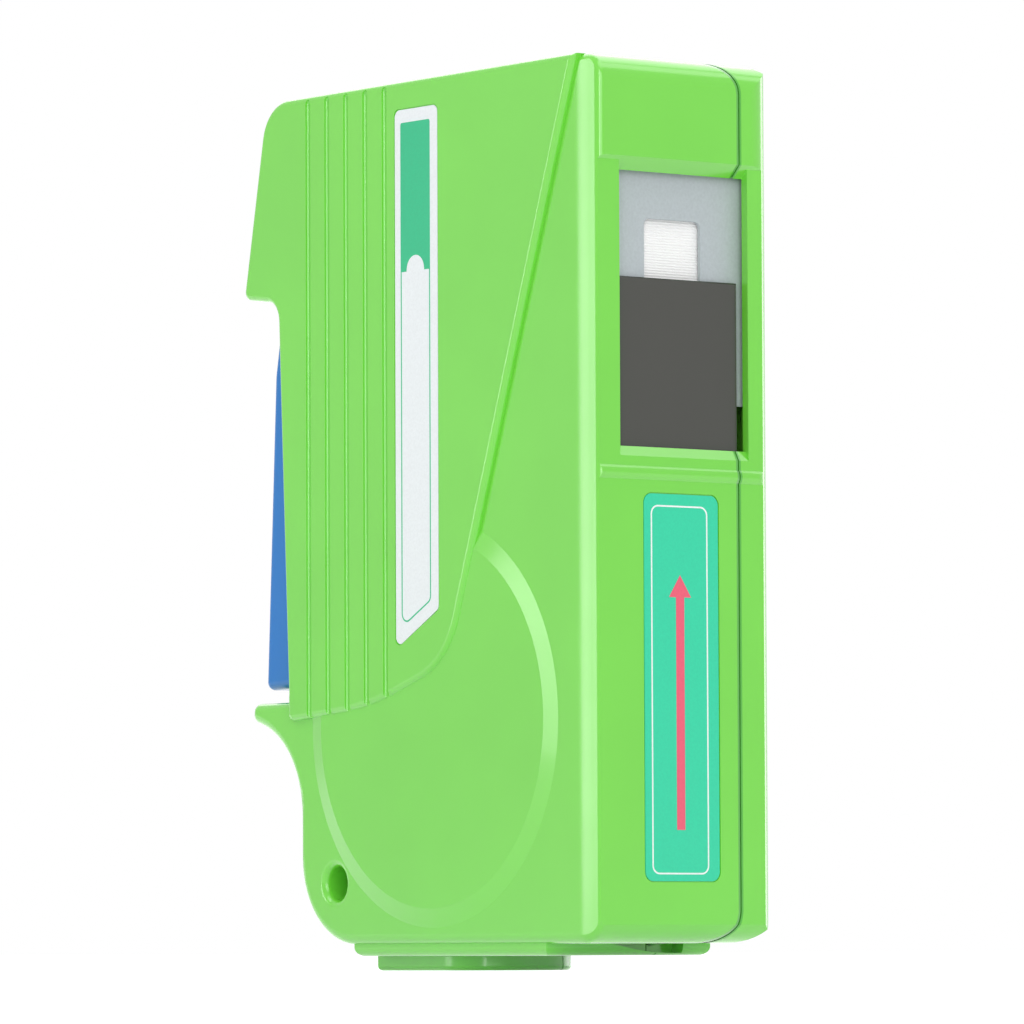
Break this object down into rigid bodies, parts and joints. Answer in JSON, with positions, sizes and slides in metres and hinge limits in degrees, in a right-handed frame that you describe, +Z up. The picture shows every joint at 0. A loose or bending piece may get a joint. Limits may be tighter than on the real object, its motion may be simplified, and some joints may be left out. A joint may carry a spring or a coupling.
{
  "type": "optical connector cleaning cassette",
  "caption": "Hand-held cassette that wipes optical fibre connectors on a reeled tape behind a shuttered window; a squeeze lever opens the shutter and winds the tape.",
  "frame": {"origin": "on the surface the cassette stands on, under the middle of its box", "axes": "+X out of the narrow front face with the window, +Y from the labelled side to the plain side, +Z up"},
  "size_m": [0.0794, 0.032, 0.1216],
  "materials": {
    "case_green": "moulded, glossy",
    "lever_blue": "moulded, glossy",
    "plate_grey": "fine satin",
    "holder_grey": "moulded, satin",
    "tape_white": "fine woven, ribbed across",
    "pad_black": "soft foam rubber",
    "shutter_dark": "moulded, glossy",
    "label_white": "printed film",
    "label_teal": "printed film",
    "reel_white": "moulded, satin",
    "gear_white": "moulded acetal",
    "pin_steel": "ground steel",
    "spring_steel": "spring steel"
  },
  "bodies": {
    "case": {"label_shell": "case_green", "cover_shell": "case_green", "side_label": "label_white", "arrow_label": "label_teal", "tape_plate": "plate_grey", "pad_holder": "holder_grey", "backing_pad": "pad_black", "cleaning_tape": "tape_white", "lower_guide_pin": "pin_steel", "upper_guide_pin": "pin_steel", "supply_axle": "pin_steel", "takeup_axle": "pin_steel", "lever_pin": "pin_steel", "supply_brake_spring": "spring_steel", "stop_spring": "spring_steel", "lever_spring": "spring_steel"},
    "lever": {"lever": "lever_blue"},
    "drive_gear": {"drive_gear": "gear_white", "drive_finger": "spring_steel"},
    "shutter": {"shutter": "shutter_dark", "shutter_slider": "shutter_dark"},
    "takeup": {"takeup_reel": "reel_white", "takeup_tape_roll": "tape_white", "stop_ratchet": "gear_white", "drive_ratchet": "gear_white"},
    "supply": {"supply_reel": "reel_white", "supply_tape_roll": "tape_white"}
  },
  "joints": [
    {"name": "lever_squeeze", "type": "hinge", "parent": "case", "child": "lever", "pos_m": [-0.0307, 0, 0.0956], "axis": [0, -1, 0], "range_deg": [-13.3, 11.4], "stiffness_Nm_per_rad": 0.3, "deforming": ["lever_spring"]},
    {"name": "drive_gear_spin", "type": "hinge", "parent": "case", "child": "drive_gear", "pos_m": [-0.0005, 0, 0.0886], "axis": [0, 1, 0], "range_deg": [-69.5, 59.5], "deforming": ["drive_finger"]},
    {"name": "shutter_slide", "type": "slide", "parent": "case", "child": "shutter", "axis": [0, 0, -1], "range_m": [-0.0145, 0.0125]},
    {"name": "takeup_spin", "type": "hinge", "parent": "case", "child": "takeup", "pos_m": [-0.0005, 0, 0.0886], "axis": [0, 1, 0], "continuous": true, "deforming": ["stop_spring"]},
    {"name": "supply_spin", "type": "hinge", "parent": "case", "child": "supply", "pos_m": [0.0033, 0, 0.0336], "axis": [0, 1, 0], "continuous": true}
  ],
  "couplings": [
    {"joint": "drive_gear_spin", "follows": "lever_squeeze", "ratio": 5.2},
    {"joint": "shutter_slide", "follows": "lever_squeeze", "m_per_rad": 0.0624},
    {"joint": "supply_spin", "follows": "takeup_spin", "ratio": -0.70588}
  ]
}
